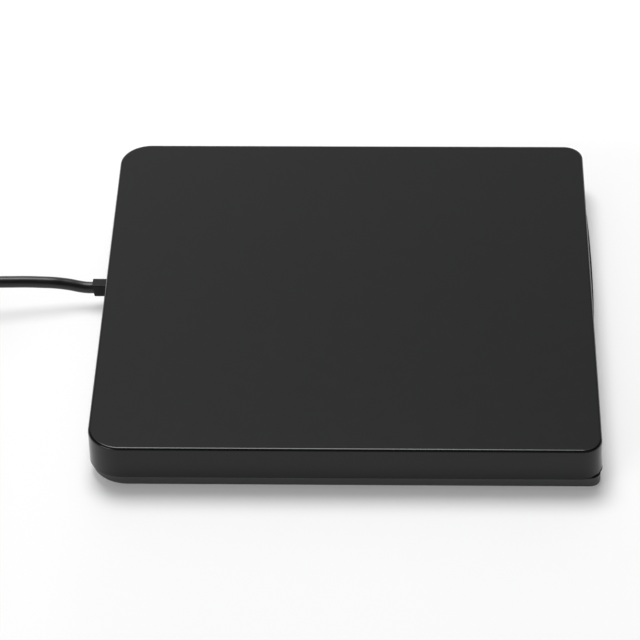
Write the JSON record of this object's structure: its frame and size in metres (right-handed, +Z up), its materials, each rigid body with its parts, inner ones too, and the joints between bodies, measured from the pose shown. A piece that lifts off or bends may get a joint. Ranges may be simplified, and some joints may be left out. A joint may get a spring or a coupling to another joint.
{
  "type": "external disc drive",
  "caption": "Slim gloss black external optical disc drive with a sprung slide-out tray, spindle hub, pickup sled, eject button and a built-in cord with a plug.",
  "frame": {"origin": "centre of the closed body's footprint, on the surface that the feet stand on", "axes": "+X the way the tray opens, -X the cord end, +Z up"},
  "size_m": [0.2304, 0.1446, 0.0145],
  "materials": {
    "gloss_cover": "gloss",
    "satin_base": "satin",
    "foot_rubber": "matte",
    "screw_steel": "satin",
    "boot_rubber": "satin",
    "copper_wire": "satin",
    "board_green": "satin",
    "chip_black": "matte",
    "sheet_steel": "brushed",
    "guide_plastic": "matte",
    "flex_film": "satin",
    "rail_steel": "brushed",
    "tray_plastic": "matte",
    "clear_plastic": "gloss",
    "motor_metal": "satin",
    "rod_steel": "polished",
    "turntable_black": "satin",
    "sled_alloy": "satin",
    "laser_brass": "satin",
    "lever_plastic": "satin",
    "lens_glass": "gloss",
    "cord_jacket": "satin",
    "tie_black": "matte",
    "plug_black": "satin",
    "plug_steel": "satin",
    "plug_white": "satin"
  },
  "bodies": {
    "enclosure": {"top_cover": "gloss_cover", "base_pan": "satin_base", "rubber_feet": "foot_rubber", "case_screws": "screw_steel", "cable_strain_relief": "boot_rubber", "usb_leads": "copper_wire", "bridge_board": "board_green", "bridge_chips": "chip_black", "bridge_connector": "chip_black", "board_screws": "screw_steel", "drive_chassis": "sheet_steel", "drive_top_plate": "sheet_steel", "drive_screws": "screw_steel", "rail_guide_left": "guide_plastic", "rail_guide_right": "guide_plastic", "latch_post": "screw_steel", "drive_connector": "chip_black", "flex_cable": "flex_film", "usb_cord": "cord_jacket", "cord_coil": "cord_jacket", "coil_tie": "tie_black", "plug_body": "plug_black", "plug_shell": "plug_steel", "plug_tongue": "plug_white"},
    "rail_left": {"slide_rail_left": "rail_steel"},
    "rail_right": {"slide_rail_right": "rail_steel"},
    "tray": {"disc_tray": "tray_plastic", "tray_bezel": "gloss_cover", "light_pipe": "clear_plastic", "tray_board": "board_green", "tray_chips": "chip_black", "eject_switch": "chip_black", "tray_shield": "sheet_steel", "tray_screws": "screw_steel", "tray_flex": "flex_film", "traverse_deck": "sheet_steel", "deck_grommets": "foot_rubber", "deck_screws": "screw_steel", "spindle_motor": "motor_metal", "guide_rods": "rod_steel", "rod_clips": "guide_plastic", "sled_motor": "motor_metal", "screw_bearing": "guide_plastic", "latch_solenoid": "copper_wire", "latch_spring": "rod_steel", "ejector_spring": "rod_steel"},
    "turntable": {"turntable": "turntable_black", "turntable_pad": "foot_rubber", "hub_balls": "rod_steel"},
    "sled": {"pickup_sled": "sled_alloy", "laser_block": "laser_brass", "sled_follower": "lever_plastic"},
    "lens": {"lens_holder": "guide_plastic", "objective_lens": "lens_glass"},
    "screw": {"lead_screw": "rod_steel"},
    "latch": {"latch_lever": "lever_plastic"},
    "ejector": {"ejector_pin": "rod_steel"},
    "button": {"eject_button": "gloss_cover"}
  },
  "joints": [
    {"name": "tray_slide", "type": "slide", "parent": "enclosure", "child": "tray", "axis": [1, 0, 0], "range_m": [0, 0.126], "deforming": ["flex_cable"]},
    {"name": "rail_left_slide", "type": "slide", "parent": "enclosure", "child": "rail_left", "axis": [1, 0, 0], "range_m": [0, 0.063]},
    {"name": "rail_right_slide", "type": "slide", "parent": "enclosure", "child": "rail_right", "axis": [1, 0, 0], "range_m": [0, 0.063]},
    {"name": "spindle_spin", "type": "hinge", "parent": "tray", "child": "turntable", "pos_m": [0.00505, 0, 0.009], "axis": [0, 0, 1], "continuous": true},
    {"name": "sled_slide", "type": "slide", "parent": "tray", "child": "sled", "axis": [0.7071, -0.7071, 0], "range_m": [0, 0.033]},
    {"name": "screw_spin", "type": "hinge", "parent": "tray", "child": "screw", "pos_m": [-0.00803, -0.01308, 0.006], "axis": [0.7071, -0.7071, 0], "range_deg": [-1, 3965]},
    {"name": "lens_focus", "type": "slide", "parent": "sled", "child": "lens", "axis": [0, 0, 1], "range_m": [-0.0003, 0.0003], "stiffness_N_per_m": 100},
    {"name": "latch_pivot", "type": "hinge", "parent": "tray", "child": "latch", "pos_m": [0.05205, 0.053, 0.0058], "axis": [0, 0, 1], "range_deg": [-10, 0], "deforming": ["latch_spring"]},
    {"name": "ejector_slide", "type": "slide", "parent": "tray", "child": "ejector", "axis": [-1, 0, 0], "range_m": [0, 0.0102], "deforming": ["ejector_spring"]},
    {"name": "eject_press", "type": "slide", "parent": "tray", "child": "button", "axis": [-1, 0, 0], "range_m": [0, 0.0004], "stiffness_N_per_m": 1500}
  ],
  "couplings": [
    {"joint": "rail_left_slide", "follows": "tray_slide", "ratio": 0.5},
    {"joint": "rail_right_slide", "follows": "tray_slide", "ratio": 0.5},
    {"joint": "ejector_slide", "follows": "tray_slide", "ratio": 0.08},
    {"joint": "screw_spin", "follows": "sled_slide", "rad_per_m": 2094.4}
  ]
}
